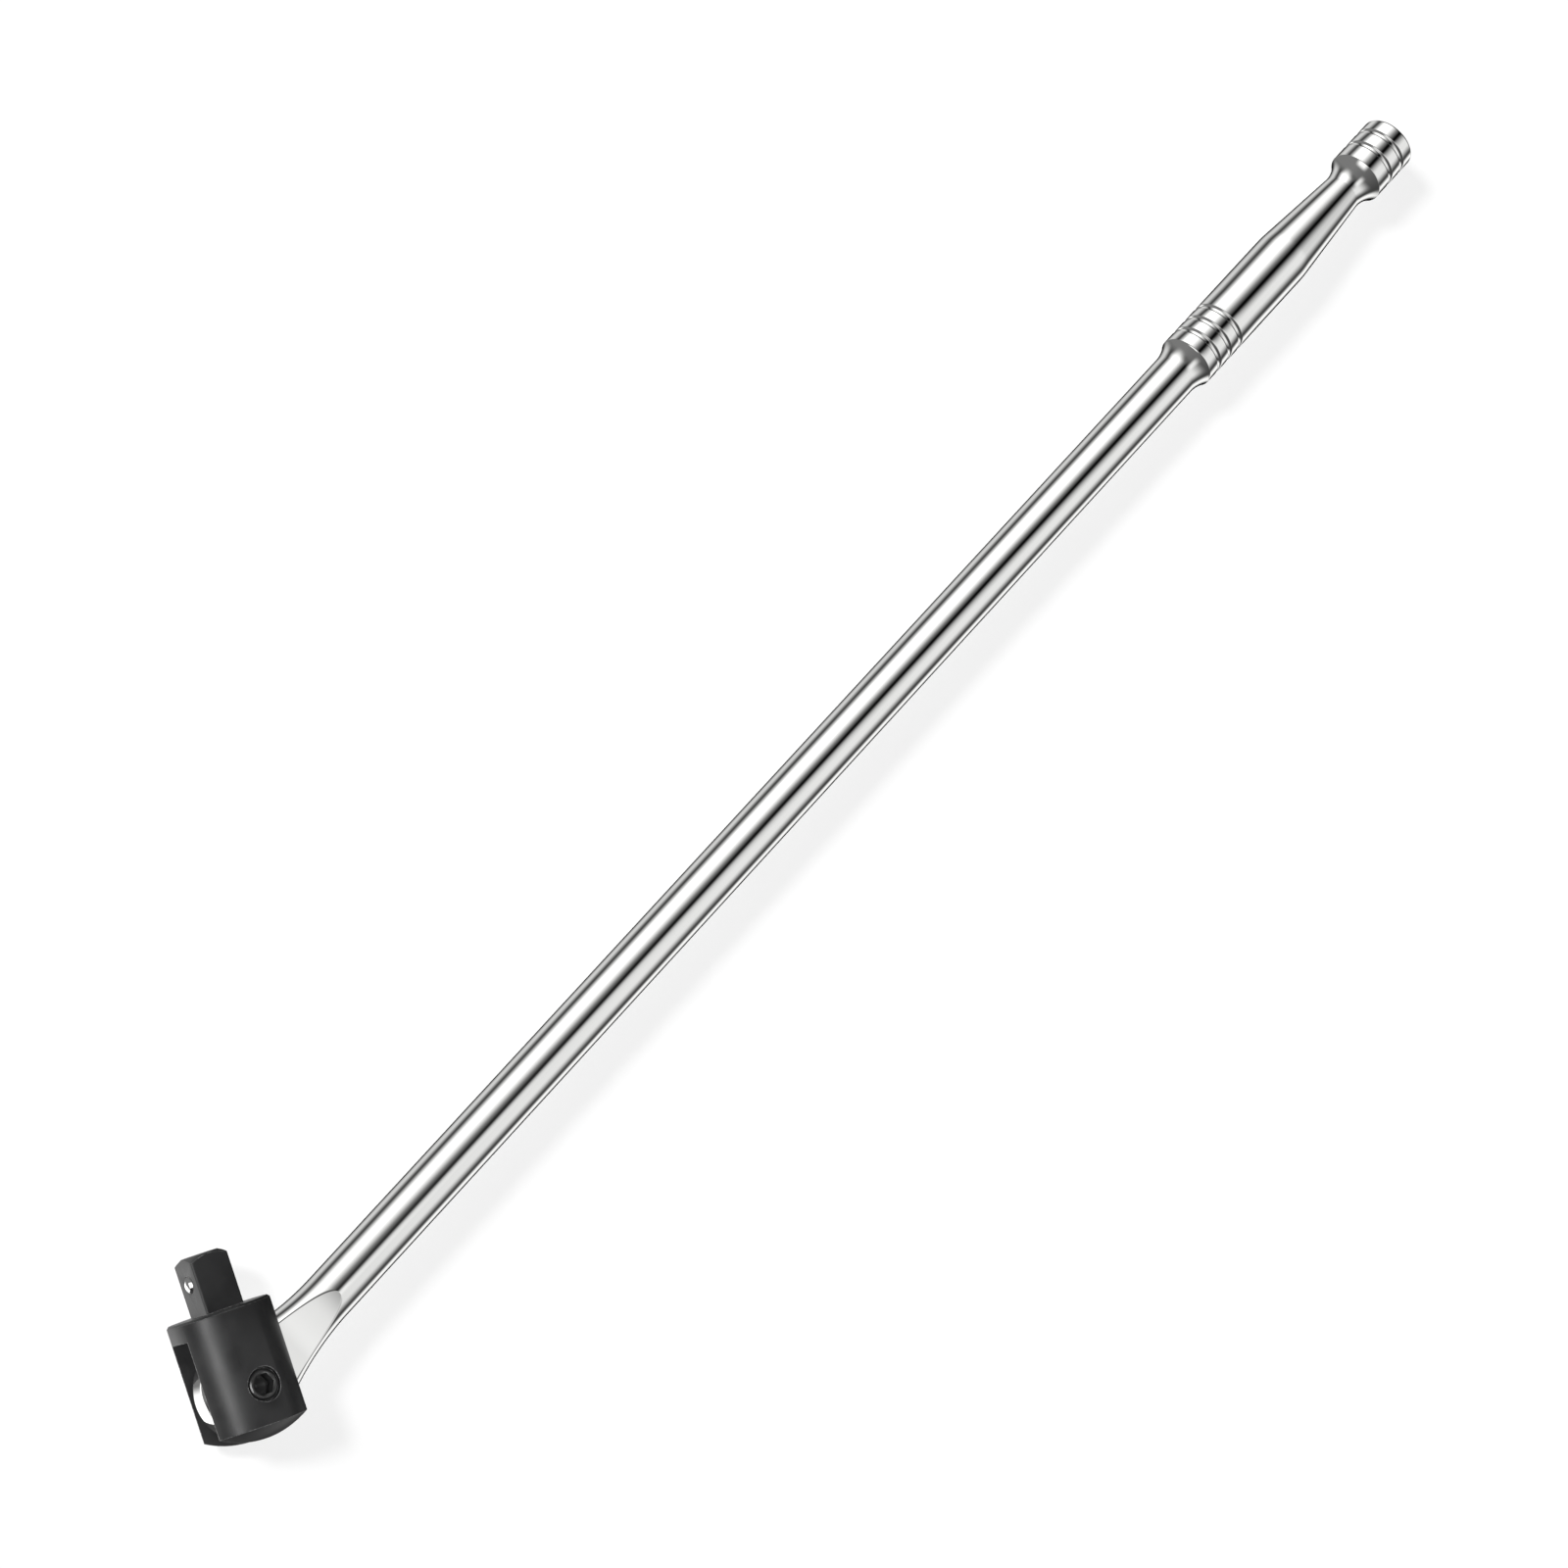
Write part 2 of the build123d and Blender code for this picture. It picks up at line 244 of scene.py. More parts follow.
CHROME, BLACK, OXIDE, BALL = chrome_bar(), black_head(), black_screw(), bright_ball()
WIRE = drawn_steel("spring_steel", (0.40, 0.40, 0.41), (0.50, 0.50, 0.50), (900, 900, 5200))
GROUND = drawn_steel("plunger_steel", (0.46, 0.46, 0.46), (0.56, 0.56, 0.55), (3800, 3800, 600))


# ------------------------------------------------------------------ handle bar
def flare_half(x):
    return SHAFT_R + FLARE_R - sqrt(FLARE_R ** 2 - (FLARE_START - x) ** 2) if x < FLARE_START else SHAFT_R


def flat_height(x):
    if x <= RUNOUT_START:
        return TONGUE_HALF
    return TONGUE_HALF + RUNOUT_R - sqrt(RUNOUT_R ** 2 - (x - RUNOUT_START) ** 2)


def flare_at(x, z):
    return flare_half(x) * sqrt(max(0.0, 1 - (z / SHAFT_R) ** 2))


def disc_r(z):
    a = TONGUE_HALF - TONGUE_RIM_R
    if abs(z) <= a:
        return TONGUE_END_R
    return TONGUE_END_R - TONGUE_RIM_R + sqrt(max(0.0, TONGUE_RIM_R ** 2 - (abs(z) - a) ** 2))


def shaft_profile():
    """(x, r, sharp) along the bar from the end of the flats to the bar's end, with rounded groove edges."""
    p = []

    def rounded(pts, rad, n=4):
        """Outline through pts with each inner corner rounded."""
        out = [pts[0]]
        for a, b, c in zip(pts, pts[1:], pts[2:]):
            A, B, C = Vector(a), Vector(b), Vector(c)
            u, v = (A - B).normalized(), (C - B).normalized()
            ang = u.angle(v)
            t = min(rad / tan(ang / 2), 0.45 * (A - B).length, 0.45 * (C - B).length)
            for k in range(n + 1):
                s = k / n
                q = (1 - s) ** 2 * (B + u * t) + 2 * s * (1 - s) * B + s * s * (B + v * t)
                out.append(tuple(q))
        out.append(pts[-1])
        return out

    def groove(xc):
        h, b, d = GROOVE_HALF, GROOVE_FLAT, GROOVE_DEPTH
        return [(xc - h, GRIP_R), (xc - b, GRIP_R - d), (xc + b, GRIP_R - d), (xc + h, GRIP_R)]

    # shaft
    p += [(x, SHAFT_R) for x in (46.0, 60.0, 90.0)]
    p += [(90.0 + 395.0 * k / 24, SHAFT_R) for k in range(1, 25)]
    p += [(SHOULDER_A, SHAFT_R)]
    run, rise = SHOULDER_B - SHOULDER_A, GRIP_R - 0.25 - SHAFT_R
    rf = (run ** 2 + rise ** 2) / (2 * rise)
    for k in range(1, 25):
        x = SHOULDER_A + run * k / 24
        p.append((x, SHAFT_R + rf - sqrt(rf ** 2 - (x - SHOULDER_A) ** 2)))
    corner = [p[-1], (SHOULDER_B + 0.3, GRIP_R)]
    for xc in GRIP_GROOVES:
        corner += groove(xc)
    corner.append((TAPER_A - 30.0, GRIP_R))
    p = p[:-1] + rounded([p[-2]] + corner, 0.5)[1:]
    # taper
    a = math.atan(TAPER_SLOPE)
    rb = 60.0
    tb = rb * tan(a / 2)
    p += [(x, GRIP_R) for x in (530.0, 540.0, 547.0, TAPER_A - tb)]
    for k in range(1, 9):
        t = a * k / 8
        p.append((TAPER_A - tb + rb * sin(t), GRIP_R - rb * (1 - cos(t))))
    neck = (NECK_A, GRIP_R - TAPER_SLOPE * (NECK_A - TAPER_A))
    for k in range(1, 13):
        x = p[-1][0] if k == 0 else TAPER_A + tb + (NECK_A - TAPER_A - tb) * k / 12
        p.append((x, GRIP_R - TAPER_SLOPE * (x - TAPER_A)))
    cx, cr = neck[0] + NECK_R_ARC * sin(a), neck[1] + NECK_R_ARC * cos(a)
    for k in range(1, 37):
        x = NECK_A + (COLLAR_A - NECK_A) * k / 36
        p.append((x, cr - sqrt(NECK_R_ARC ** 2 - (x - cx) ** 2)))
    corner = [p[-2], p[-1], (COLLAR_A + 0.35, GRIP_R)]
    for xc in COLLAR_GROOVES:
        corner += groove(xc)
    corner += [(615.5, GRIP_R)]
    p = p[:-1] + rounded(corner, 0.5)[1:]
    for k in range(0, 13):
        t = radians(90 * k / 12)
        p.append((BAR_END - END_R + END_R * sin(t), GRIP_R - END_R + END_R * cos(t)))
    p.append((BAR_END, 6.0))
    p.append((BAR_END, 2.0))
    clean = [p[0]]
    for q in p[1:]:
        if (Vector(q) - Vector(clean[-1])).length > 1e-4:
            clean.append(q)
    return clean


def build_handle():
    K = 97                                        # levels over one side's height
    psi = [-pi / 2 + pi * k / (K - 1) for k in range(K)]
    tau = [sin(a) for a in psi]
    tau[0], tau[-1] = -1.0, 1.0
    x_tip = RUNOUT_START + sqrt(RUNOUT_R ** 2 - (RUNOUT_R - (SHAFT_R - TONGUE_HALF)) ** 2)

    # where the flare leaves the round end, at each level
    join = []
    for t in tau:
        z = TONGUE_HALF * t
        lo, hi = 2.0, 14.0
        for _ in range(50):
            x = (lo + hi) / 2
            # the disc is wider at small x
            if sqrt(max(0.0, disc_r(z) ** 2 - x * x)) > flare_at(x, z):
                lo = x
            else:
                hi = x
        join.append((lo + hi) / 2)

    def side_point(x, t):
        """Point on the +Y side at level t, with the corner between side and flat rounded."""
        h, w = min(flat_height(x), SHAFT_R), flare_half(x)
        z = h * t
        y = w * sqrt(max(0.0, 1 - (z / SHAFT_R) ** 2))
        yc = w * sqrt(max(0.0, 1 - (h / SHAFT_R) ** 2))
        g = min(1.0, max(0.0, (x - join[-1]) / 2.0))
        rad = 0.42 * g * g * (3 - 2 * g) * min(1.0, yc / 2.0)
        if rad < 1e-3:
            return x, y, z
        slope = w * h / SHAFT_R ** 2 / sqrt(max(1e-9, 1 - (h / SHAFT_R) ** 2))
        z0 = h - rad / sqrt(1 + slope ** 2)
        if abs(z) <= z0:
            return x, y, z
        y0 = w * sqrt(1 - (z0 / SHAFT_R) ** 2)
        s = (abs(z) - z0) / (h - z0)
        y = (1 - s) ** 2 * y0 + 2 * s * (1 - s) * yc + s * s * (yc - rad)
        zz = (1 - s) ** 2 * z0 + 2 * s * (1 - s) * h + s * s * h
        return x, y, zz if z > 0 else -zz

    verts, faces = [], []

    def add(v):
        verts.append(v)
        return len(verts) - 1

    # outline stations: from the tip along +Y to the junction, round the end, back to the tip along -Y
    NX, NA = 90, 150
    grid = []                                     # grid[i][k] vertex index
    spans = []
    for i in range(NX + 1):
        f = i / NX
        row = []
        for k, t in enumerate(tau):
            xj = join[k]
            # dense near the tip, where the flat narrows to a point
            x = x_tip - (x_tip - xj) * (f ** 1.35)
            row.append((x, SHAFT_R * cos(psi[k]), SHAFT_R * sin(psi[k])) if i == 0 else side_point(x, t))
        spans.append(row)
    for i in range(1, NA):
        f = i / NA
        row = []
        for k, t in enumerate(tau):
            z = TONGUE_HALF * t
            r = disc_r(z)
            a0 = atan2(sqrt(max(0.0, r * r - join[k] ** 2)), join[k])
            a = a0 + (2 * pi - 2 * a0) * f
            row.append((r * cos(a), r * sin(a), z))
        spans.append(row)
    for i in range(NX, -1, -1):
        spans.append([(x, -y, z) for x, y, z in spans[i]])
    n_st = len(spans)
    for i, row in enumerate(spans):
        ids = []
        for k, v in enumerate(row):
            if i == n_st - 1 and k in (0, K - 1):
                ids.append(grid[0][k])            # the tips of the two flats are shared
            else:
                ids.append(add(v))
        grid.append(ids)
    for i in range(n_st - 1):
        for k in range(K - 1):
            q = [grid[i][k], grid[i + 1][k], grid[i + 1][k + 1], grid[i][k + 1]]
            q = [v for j, v in enumerate(q) if v != q[j - 1]]
            if len(q) >= 3:
                faces.append(q)
    # the bore
    NB = 128
    bore = {}
    for s, k in ((1, K - 1), (-1, 0)):
        bore[s] = [add((SCREW_BORE_R * cos(2 * pi * j / NB), SCREW_BORE_R * sin(2 * pi * j / NB), s * TONGUE_HALF)) for j in range(NB)]
    for j in range(NB):
        a, b = j, (j + 1) % NB
        faces.append([bore[1][a], bore[1][b], bore[-1][b], bore[-1][a]])

    # the two flats: strips across while the surface curves, then one plane with the bore in it
    for s, k in ((1, K - 1), (-1, 0)):
        edge = [grid[i][k] for i in range(n_st)]
        i_flat = next(i for i in range(NX + 1) if verts[edge[i]][0] <= RUNOUT_START + 1e-6)
        M = 16
        prev = None
        for i in range(0, i_flat + 1):
            a, b = edge[i], edge[n_st - 1 - i]
            if a == b:
                line = [a]
            else:
                A, B = verts[a], verts[b]
                line = [a] + [add((A[0], A[1] + (B[1] - A[1]) * j / M, A[2])) for j in range(1, M)] + [b]
            if prev is not None:
                if len(prev) == 1:
                    for j in range(M):
                        faces.append([prev[0], line[j], line[j + 1]][::s])
                else:
                    for j in range(M):
                        faces.append([prev[j], line[j], line[j + 1], prev[j + 1]][::s])
            prev = line
        loop = edge[i_flat:n_st - i_flat]
        outline = list(loop) + prev[1:-1][::-1]
        ring = bore[s]
        # cut along the middle line into a +Y face and a -Y face
        far = next(j for j, v in enumerate(outline) if v == edge[(n_st - 1) // 2])
        mid_in = next(j for j, v in enumerate(outline) if j > far and abs(verts[v][1]) < 1e-6)
        upper = outline[mid_in:] + outline[:far + 1] + [ring[j] for j in range(NB // 2, -1, -1)]
        lower = outline[far:mid_in + 1] + [ring[j % NB] for j in range(NB, NB // 2 - 1, -1)]
        for q in (upper, lower):
            area = sum(verts[q[j - 1]][0] * verts[q[j]][1] - verts[q[j]][0] * verts[q[j - 1]][1] for j in range(len(q)))
            faces.append(q if area * s > 0 else q[::-1])

    # round bar from the tip of the flats to the end: the first ring is the tongue's last
    first = [grid[0][k] for k in range(K)] + [grid[n_st - 1][k] for k in range(K - 2, 0, -1)]
    angs = [psi[k] for k in range(K)] + [pi - psi[k] for k in range(K - 2, 0, -1)]
    prof = shaft_profile()
    ring = first
    for x, r in prof:
        nxt = [add((x, r * cos(a), r * sin(a))) for a in angs]
        for j in range(len(ring)):
            m = (j + 1) % len(ring)
            faces.append([ring[j], ring[m], nxt[m], nxt[j]])
        ring = nxt
    c = add((BAR_END, 0, 0))
    for j in range(len(ring)):
        faces.append([ring[j], ring[(j + 1) % len(ring)], c])

    me = bpy.data.meshes.new("handle")
    me.from_pydata(verts, [], faces)
    me.validate()
    bm = bmesh.new()
    bm.from_mesh(me)
    bmesh.ops.dissolve_degenerate(bm, dist=1e-5, edges=bm.edges)
    bmesh.ops.recalc_face_normals(bm, faces=bm.faces)
    bm.to_mesh(me)
    bm.free()
    me.polygons.foreach_set("use_smooth", [True] * len(me.polygons))
    me.set_sharp_from_angle(angle=radians(24))
    return me


# ------------------------------------------------------------------ solids for the head
def revolve(profile, n=256, axis="X", offset=0.0):
    """Closed solid of revolution. profile is (along, radius) from one end on the axis to the other."""
    bm = bmesh.new()
    rings = []
    for a, r in profile:
        if r < 1e-9:
            rings.append([bm.verts.new((a, 0, 0))])
        else:
            rings.append([bm.verts.new((a, r * cos(2 * pi * (j + offset) / n), r * sin(2 * pi * (j + offset) / n))) for j in range(n)])
    for A, B in zip(rings, rings[1:]):
        for j in range(n):
            k = (j + 1) % n
            if len(A) == 1 and len(B) > 1:
                bm.faces.new((A[0], B[j], B[k]))
            elif len(B) == 1 and len(A) > 1:
                bm.faces.new((A[j], B[0], A[k]))
            elif len(A) > 1:
                bm.faces.new((A[j], B[j], B[k], A[k]))
    if axis == "Z":
        bmesh.ops.transform(bm, matrix=Matrix.Rotation(-pi / 2, 4, "Y"), verts=bm.verts)
    if axis == "Y":
        bmesh.ops.transform(bm, matrix=Matrix.Rotation(pi / 2, 4, "Z"), verts=bm.verts)
    bmesh.ops.recalc_face_normals(bm, faces=bm.faces)
    me = bpy.data.meshes.new("solid")
    bm.to_mesh(me)
    bm.free()
    return me


def prism(outline, x0, x1):
    """Solid along X from a closed outline of (y, z)."""
    bm = bmesh.new()
    a = [bm.verts.new((x0, y, z)) for y, z in outline]
    b = [bm.verts.new((x1, y, z)) for y, z in outline]
    bm.faces.new(a)
    bm.faces.new(b[::-1])
    for j in range(len(a)):
        k = (j + 1) % len(a)
        bm.faces.new((a[j], b[j], b[k], a[k]))
    bmesh.ops.recalc_face_normals(bm, faces=bm.faces)
    me = bpy.data.meshes.new("solid")
    bm.to_mesh(me)
    bm.free()
    return me


def moved(me, matrix):
    me.transform(matrix)
    return me


def combine(me, steps):
    """Booleans in turn: steps is [(operation, mesh)]."""
    ob = new_object("work", me)
    tools = []
    for op, tool in steps:
        t = new_object("tool", tool)
        tools.append(t)
        m = ob.modifiers.new("b", "BOOLEAN")
        m.operation, m.object, m.solver = op, t, "EXACT"
    dg = bpy.context.evaluated_depsgraph_get()
    dg.update()
    out = bpy.data.meshes.new_from_object(ob.evaluated_get(dg))
    for o in tools + [ob]:
        bpy.data.objects.remove(o)
    return out


def finish_mesh(me, name, matrix, width, segments, angle=32):
    """Rounds the edges, shades smooth with the creases kept, and carries the mesh into the row frame."""
    bm = bmesh.new()
    bm.from_mesh(me)
    bmesh.ops.remove_doubles(bm, verts=bm.verts, dist=2e-4)
    bmesh.ops.dissolve_degenerate(bm, dist=2e-4, edges=bm.edges)
    bmesh.ops.dissolve_limit(bm, angle_limit=radians(0.35), verts=bm.verts, edges=bm.edges)
    bmesh.ops.recalc_face_normals(bm, faces=bm.faces)
    bm.to_mesh(me)
    bm.free()
    ob = new_object(name, me)
    if width:
        b = ob.modifiers.new("edges", "BEVEL")
        b.width, b.segments, b.limit_method = width, segments, "ANGLE"
        b.angle_limit = radians(angle)
        b.miter_outer = "MITER_ARC"
        b.use_clamp_overlap = True
        dg = bpy.context.evaluated_depsgraph_get()
        dg.update()
        out = bpy.data.meshes.new_from_object(ob.evaluated_get(dg))
        ob.modifiers.clear()
        ob.data = out
    me = ob.data
    me.name = name
    me.polygons.foreach_set("use_smooth", [True] * len(me.polygons))
    me.set_sharp_from_angle(angle=radians(26))
    me.transform(matrix)
    return ob


def build_head():
    top = DRUM_TOP
    cx = DRUM_RIM + sqrt(DOME_R ** 2 - DRUM_R ** 2)
    ang = asin(DRUM_R / DOME_R)
    prof = [(cx - DOME_R * cos(ang * k / 28), DOME_R * sin(ang * k / 28)) for k in range(29)]
    prof += [(top - TOP_CHAMFER, DRUM_R), (top, DRUM_R - TOP_CHAMFER), (top, 0)]
    drum = revolve(prof)
    h, e = TANG_SIDE / 2, TANG_EDGE_R
    outline = []
    for q in range(4):
        for k in range(9):
            t = pi / 2 * (q + k / 8)
            cy = (h - e) * (1 if q in (0, 3) else -1)
            cz = (h - e) * (1 if q in (0, 1) else -1)
            outline.append((cy + e * cos(t), cz + e * sin(t)))
    tip = top + TANG_LEN
    tang = prism(outline, top - 1.0, tip + 1)
    rc = h * sqrt(2) + 0.5
    back = (rc - TANG_TIP_R) * tan(radians(TANG_CONE))
    turned = revolve([(top - 2, 0), (top - 2, rc), (tip - back, rc), (tip, TANG_TIP_R), (tip, 0)])
    tang = combine(tang, [("INTERSECT", turned)])
    slot = prism([(-30, -SLOT_HALF), (30, -SLOT_HALF), (30, SLOT_HALF), (-30, SLOT_HALF)], -25.0, SLOT_FLOOR)
    steps = [("UNION", tang), ("DIFFERENCE", slot)]
    c = SLOT_CORNER
    for s in (1, -1):
        bm = bmesh.new()
        w = [(SLOT_FLOOR - 0.01, s * (DRUM_R - c)), (SLOT_FLOOR - 0.01, s * (DRUM_R + 1)), (SLOT_FLOOR + c + 1, s * (DRUM_R + 1))]
        lo = [bm.verts.new((x, y, -SLOT_HALF)) for x, y in w]
        hi = [bm.verts.new((x, y, SLOT_HALF)) for x, y in w]
        bm.faces.new(lo)
        bm.faces.new(hi[::-1])
        for j in range(3):
            bm.faces.new((lo[j], lo[(j + 1) % 3], hi[(j + 1) % 3], hi[j]))
        bmesh.ops.recalc_face_normals(bm, faces=bm.faces)
        me = bpy.data.meshes.new("wedge")
        bm.to_mesh(me)
        bm.free()
        steps.append(("DIFFERENCE", me))
    near = SCREW_FACE - SCREW_MOUTH_DEPTH
    bore = revolve([(-1.0, 0), (-1.0, SCREW_BORE_R), (near, SCREW_BORE_R), (near, SCREW_MOUTH_R), (20, SCREW_MOUTH_R), (20, 0)], 192, "Z")
    thread = revolve([(-20, 0), (-20, THREAD_BORE_R + 0.9), (-DRUM_R - 0.6, THREAD_BORE_R + 0.9), (-DRUM_R + 0.6, THREAD_BORE_R - 0.0), (1.0, THREAD_BORE_R), (1.0, 0)], 192, "Z", 0.5)
    steps += [("DIFFERENCE", bore), ("DIFFERENCE", thread)]
    xb, yb = top + BALL_UP, h - (BALL_R - BALL_OUT)
    n = 40
    pocket = [(BALL_POCKET_END, 0), (BALL_POCKET_END, BALL_POCKET_R)]
    pocket += [(yb + BALL_POCKET_R * sin(pi / 2 * k / n), BALL_POCKET_R * cos(pi / 2 * k / n)) for k in range(n)] + [(yb + BALL_POCKET_R, 0)]
    pm = revolve(pocket, 160, "Y", 0.37)
    steps.append(("DIFFERENCE", moved(pm, Matrix.Translation((xb, 0, 0)))))
    pl = revolve([(SLOT_FLOOR - 1, 0), (SLOT_FLOOR - 1, PLUNGER_BORE_R), (PLUNGER_BORE_END, PLUNGER_BORE_R), (PLUNGER_BORE_END, 0)], 128)
    steps.append(("DIFFERENCE", pl))
    me = combine(drum, steps)
    return finish_mesh(me, "head", TO_ROW_HEAD, 0.16, 2)


def build_screw():
    f, c = SCREW_FACE, SCREW_CHAMFER
    # a rolled thread on the shank's reduced end, shown as close rings
    prof = [(THREAD_END, 0), (THREAD_END, THREAD_R - 0.6), (THREAD_END + 0.6, THREAD_R)]
    z = THREAD_END + 0.9
    while z < -SLOT_HALF - 1.6:
        prof += [(z, THREAD_R), (z + 0.5, THREAD_R - 0.45), (z + 0.62, THREAD_R - 0.45), (z + 1.12, THREAD_R)]
        z += 1.25
    prof += [(-SLOT_HALF - 0.9, THREAD_R - 0.4), (-SLOT_HALF, THREAD_R - 0.4), (-SLOT_HALF, SCREW_R), (f - c, SCREW_R), (f, SCREW_R - c), (f, 0)]
    body = revolve(prof, 192, "Z")
    r = HEX_AF / 2 / cos(pi / 6)
    # corners across the tang's direction
    hexagon = prism([(r * cos(pi / 3 * k), r * sin(pi / 3 * k)) for k in range(6)], 0, HEX_DEPTH + 1)
    # prism runs along X: stand it up along Z, with a corner on local Y
    hexagon.transform(Matrix(((0, 0, 1, 0), (0, 1, 0, 0), (-1, 0, 0, 0), (0, 0, 0, 1))) @ Matrix.Identity(4))
    hexagon.transform(Matrix.Translation((0, 0, f + 1)))
    lead = revolve([(f - 0.35, 0), (f - 0.35, 3.0), (f + 0.35, HEX_LEAD_R + 0.65), (f + 0.35, 0)], 96, "Z", 0.5)
    cone = revolve([(f - HEX_DEPTH - 1.2, 0), (f - HEX_DEPTH - 1.2, 0.4), (f - HEX_DEPTH, 2.6), (f - HEX_DEPTH + 0.02, 0)], 96, "Z", 0.5)
    me = combine(body, [("DIFFERENCE", hexagon), ("DIFFERENCE", lead), ("DIFFERENCE", cone)])
    return finish_mesh(me, "screw", TO_ROW_HEAD, 0.06, 2, 35)


def build_ball():
    bm = bmesh.new()
    bmesh.ops.create_icosphere(bm, subdivisions=6, radius=BALL_R)
    me = bpy.data.meshes.new("ball")
    bm.to_mesh(me)
    bm.free()
    me.polygons.foreach_set("use_smooth", [True] * len(me.polygons))
    me.transform(TO_ROW_HEAD @ Matrix.Translation((DRUM_TOP + BALL_UP, TANG_SIDE / 2 - (BALL_R - BALL_OUT), 0)))
    return new_object("ball", me)


def put(ob, mat, body, cad):
    ob.data.materials.clear()
    ob.data.materials.append(mat)
    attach(ob, body)
    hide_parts(cad)


hm = build_handle()
hm.transform(TO_ROW)
handle = new_object("handle", hm)
put(handle, CHROME, "handle", "handle_bar")
put(build_head(), BLACK, "head", "drive_head")
put(build_screw(), OXIDE, "head", "hinge_screw")
put(build_ball(), BALL, "ball", "detent_ball")
for name, mat, slot in (("detent_spring", WIRE, "spring_steel"), ("friction_spring", WIRE, "spring_steel"), ("friction_plunger", GROUND, "plunger_steel")):
    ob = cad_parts[name]
    ob.data.materials.clear()
    ob.data.materials.append(mat)

# ------------------------------------------------------------------ studio
FLOOR_Z = -0.01605


def disc(name, r, z, n=96):
    bm = bmesh.new()
    bmesh.ops.create_circle(bm, cap_ends=True, segments=n, radius=r)
    me = bpy.data.meshes.new(name)
    bm.to_mesh(me)
    bm.free()
    ob = new_object(name, me)
    ob.location.z = z
    return ob


floor = disc("floor", 9.0, FLOOR_Z)
fm, fnt, fbs = material("floor")
fbs.inputs["Base Color"].default_value = (0.86, 0.86, 0.86, 1)
fbs.inputs["Roughness"].default_value = 1.0
fbs.inputs["Specular IOR Level"].default_value = 0.0
floor.data.materials.append(fm)
floor.visible_glossy = False

# plain pale backdrop above the horizon
bm = bmesh.new()
bmesh.ops.create_icosphere(bm, subdivisions=5, radius=8.9)
me = bpy.data.meshes.new("backdrop")
bm.to_mesh(me)
bm.free()
backdrop = new_object("backdrop", me)
bd = bpy.data.materials.new("backdrop")
bd.use_nodes = True
bd.node_tree.nodes.clear()
em = bd.node_tree.nodes.new("ShaderNodeEmission")
em.inputs["Strength"].default_value = 1.0
em.inputs["Color"].default_value = (1.0, 1.0, 1.0, 1)
ou = bd.node_tree.nodes.new("ShaderNodeOutputMaterial")
bd.node_tree.links.new(em.outputs[0], ou.inputs[0])
me.materials.append(bd)
for flag in ("visible_diffuse", "visible_glossy", "visible_transmission", "visible_volume_scatter", "visible_shadow"):
    setattr(backdrop, flag, False)

# the studio round the bar: soft cards on a grey dome, given by the angle about the
# bar's axis (0 is +Y, 90 is up) and by how far along +X they stand
world = bpy.data.worlds.new("studio")
scene.world = world
world.use_nodes = True
nt = world.node_tree
nt.nodes.clear()
out = nt.nodes.new("ShaderNodeOutputWorld")
bg = nt.nodes.new("ShaderNodeBackground")
nt.links.new(bg.outputs[0], out.inputs[0])
tc = nt.nodes.new("ShaderNodeTexCoord")
nz = nt.nodes.new("ShaderNodeVectorMath")
nz.operation = "NORMALIZE"
nt.links.new(tc.outputs["Generated"], nz.inputs[0])
sep = nt.nodes.new("ShaderNodeSeparateXYZ")
nt.links.new(nz.outputs[0], sep.inputs[0])
DX, DY, DZ = sep.outputs
TH = math_node(nt, "MULTIPLY", math_node(nt, "ARCTAN2", DZ, DY), 180 / pi)


def mul(*v):
    r = v[0]
    for x in v[1:]:
        r = math_node(nt, "MULTIPLY", r, x)
    return r


def card(peak, t, x, taper=None):
    """t = (rise from, rise to, fall from, fall to) in degrees about the bar; x the same along +X.
    taper = (x, degrees per unit): the card narrows where it stands short of x, which rounds its end."""
    parts = []
    rise, fall = TH, TH
    if taper:
        shrink = mul(math_node(nt, "MAXIMUM", math_node(nt, "SUBTRACT", taper[0], DX), 0.0), taper[1])
        rise, fall = math_node(nt, "SUBTRACT", TH, shrink), math_node(nt, "ADD", TH, shrink)
    for up, dn, (a, b, c, d) in ((rise, fall, t), (DX, DX, x)):
        if a is not None:
            parts.append(ramp(nt, up, a, b))
        if c is not None:
            parts.append(ramp(nt, dn, c, d, 1.0, 0.0))
    return mul(mul(*parts), peak)


N = None
# grey dome: lighter on the +Y side, darker on the -Y side, and nearly black towards +X
side = ramp(nt, TH, 40, 176, 0.205, 0.058, "LINEAR")
base_neg = math_node(nt, "MINIMUM", side, 1.0)
low = ramp(nt, TH, -175, -120, 0.30, 1.0)
base_neg = mul(base_neg, low)
gap = math_node(nt, "SUBTRACT", 1.0, card(1.0, (68, 85, 92, 105), (0.25, 0.5, N, N)))
under = math_node(nt, "SUBTRACT", 1.0, card(0.92, (-136, -128, -84, -76), (-0.2, 0.2, N, N)))
pos = mul(gap, 0.065)
mixn = nt.nodes.new("ShaderNodeMix")
mixn.data_type = "FLOAT"
nt.links.new(ramp(nt, DX, 0.02, 0.36), mixn.inputs["Factor"])
nt.links.new(base_neg, mixn.inputs["A"])
nt.links.new(pos, mixn.inputs["B"])
total = mul(mixn.outputs["Result"], under)
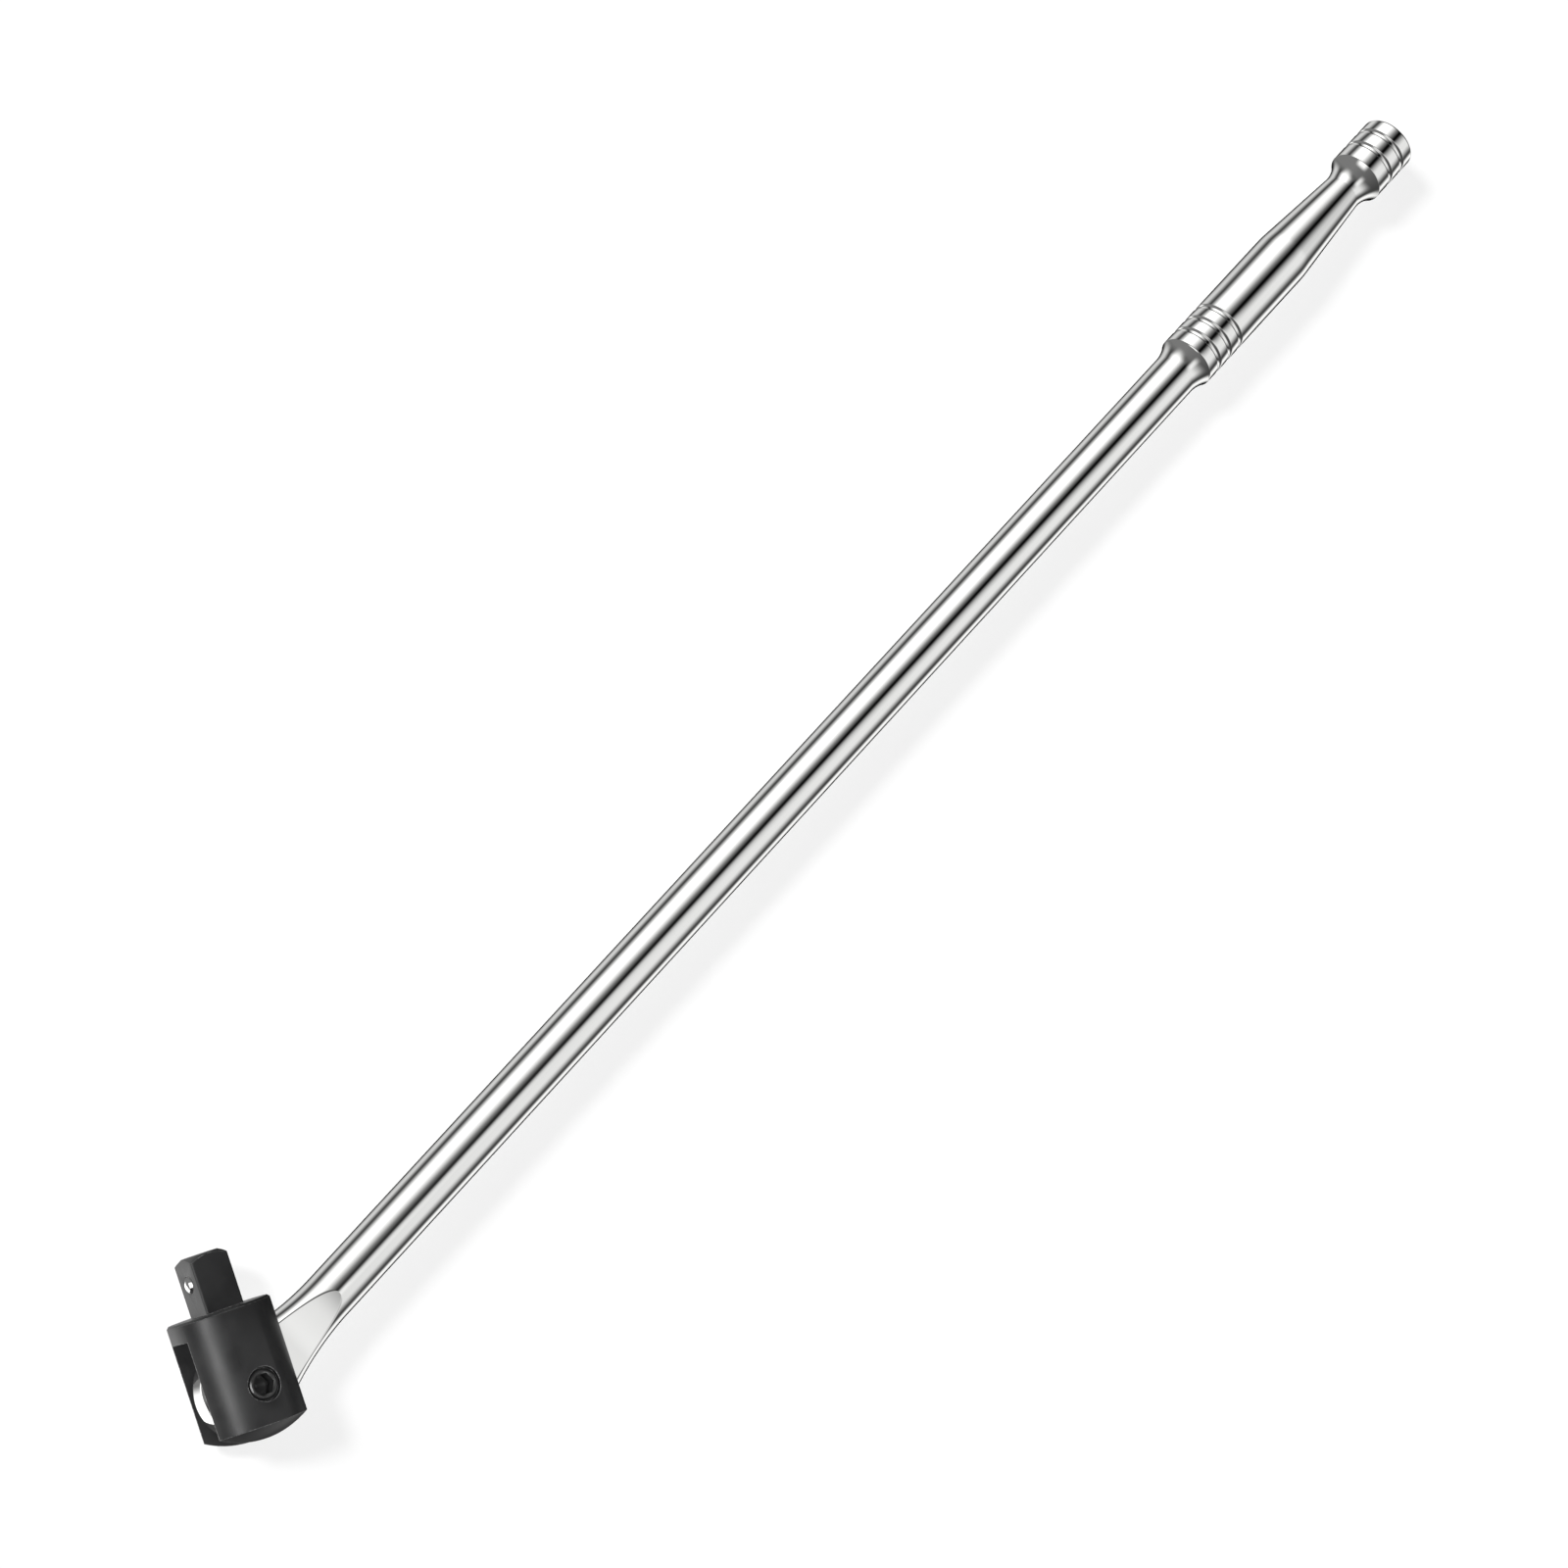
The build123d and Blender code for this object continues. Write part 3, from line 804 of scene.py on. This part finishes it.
cards = [
    card(1.42, (-14, 20, 36, 75), (-0.06, 0.52, N, N), (0.38, 45.0)),  # long white softbox, +Y side
    card(0.11, (46, 64, 70, 86), (0.15, 0.40, N, N)),                  # its dim border
    card(0.80, (88, 126, 142, 178), (-0.10, 0.46, N, N)),              # long grey softbox, -Y side
    card(0.64, (88, 102, 104, 124), (-0.22, 0.12, 0.26, 0.60)),        # small card overhead
    card(1.00, (30, 52, 70, 94), (-1.00, -0.76, -0.54, -0.30)),        # card behind the head
    card(0.62, (-78, -50, -42, -15), (0.10, 0.38, N, N)),              # floor bounce, +Y side
    card(1.02, (-177, -157, -151, -131), (-0.40, 0.30, N, N)),         # floor bounce, -Y side
    card(1.40, (-135, -115, -55, -40), (N, N, -0.38, -0.18)),          # bright floor before the head
]
for c in cards:
    total = math_node(nt, "ADD", total, c)
# nothing stands past the end of the bar but one small card square to it
total = mul(total, ramp(nt, DX, 0.64, 0.82, 1.0, 0.04))
total = mul(total, ramp(nt, DX, -0.96, -0.87, 0.32, 1.0))
total = math_node(nt, "ADD", total, ramp(nt, DX, 0.980, 0.996, 0.0, 0.34))
nt.links.new(total, bg.inputs["Strength"])
bg.inputs["Color"].default_value = (1.0, 1.0, 0.992, 1)


def sun(name, direction, strength, angle, glossy=False):
    """direction is where the light comes from."""
    li = bpy.data.lights.new(name, "SUN")
    li.energy, li.angle = strength, radians(angle)
    ob = new_object(name, li)
    ob.rotation_mode = "QUATERNION"
    ob.rotation_quaternion = Vector(direction).to_track_quat("Z", "Y")
    ob.visible_glossy = glossy
    return ob


# the floor is evenly lit; only the key throws a shadow, a faint one
world.cycles_visibility.diffuse = False
sun("fill", (0.0, 0.0, 1.0), 3.12, 30).data.use_shadow = False
sun("key", (-0.41, 0.615, 0.674), 0.93, 11)


def strip(name, direction, distance, size, power, receivers):
    """Rectangular light that only the receivers see; the floor does not shade it."""
    li = bpy.data.lights.new(name, "AREA")
    li.shape, li.size, li.size_y, li.energy = "RECTANGLE", size[0], size[1], power
    ob = new_object(name, li)
    z = Vector(direction).normalized()
    x = Vector((cos(HEAD_ANGLE), sin(HEAD_ANGLE), 0))
    x = (x - z * x.dot(z)).normalized()
    y = z.cross(x)
    ob.matrix_world = Matrix.Translation(HINGE * 0.001 + distance * z) @ Matrix((x, y, z)).transposed().to_4x4()
    ob.visible_camera = False
    ob.light_linking.receiver_collection = receivers
    ob.light_linking.blocker_collection = BLOCKERS
    return ob


HEAD_ONLY = bpy.data.collections.new("head_only")
BALL_ONLY = bpy.data.collections.new("ball_only")
BALL_ONLY.objects.link(bpy.data.objects["ball"])
BLOCKERS = bpy.data.collections.new("blockers")
for name in ("head", "screw"):
    HEAD_ONLY.objects.link(bpy.data.objects[name])
for name in ("head", "screw", "ball", "handle"):
    BLOCKERS.objects.link(bpy.data.objects[name])
a = radians(30)
strip("head_strip", (-sin(HEAD_ANGLE) * cos(a), cos(HEAD_ANGLE) * cos(a), sin(a)), 1.2, (1.1, 0.30), 13.0, HEAD_ONLY)
strip("floor_glow", (-0.10, 0.50, -0.86), 1.0, (2.6, 2.2), 14.0, HEAD_ONLY)
strip("foot_card", (-0.475, -0.748, 0.458), 1.2, (0.8, 0.8), 6.0, HEAD_ONLY)
strip("ball_card", (-0.80, 0.42, 0.46), 0.6, (0.60, 0.52), 1.5, BALL_ONLY)

# ------------------------------------------------------------------ camera
cam_data = bpy.data.cameras.new("camera")
cam_data.sensor_width = 36.0
cam_data.lens = 138.22
cam_data.clip_start, cam_data.clip_end = 0.05, 50
camera = new_object("camera", cam_data)
cr, cu, cb = Vector((0.59521, -0.64086, 0.48479)), Vector((0.64703, 0.73998, 0.18380)), Vector((-0.47652, 0.20428, 0.85510))
camera.matrix_world = Matrix.Translation((-0.64830, 0.37179, 1.63325)) @ Matrix((cr, cu, cb)).transposed().to_4x4()
scene.camera = camera

scene.view_settings.view_transform = "Standard"
scene.view_settings.look = "None"

bpy.context.view_layer.update()
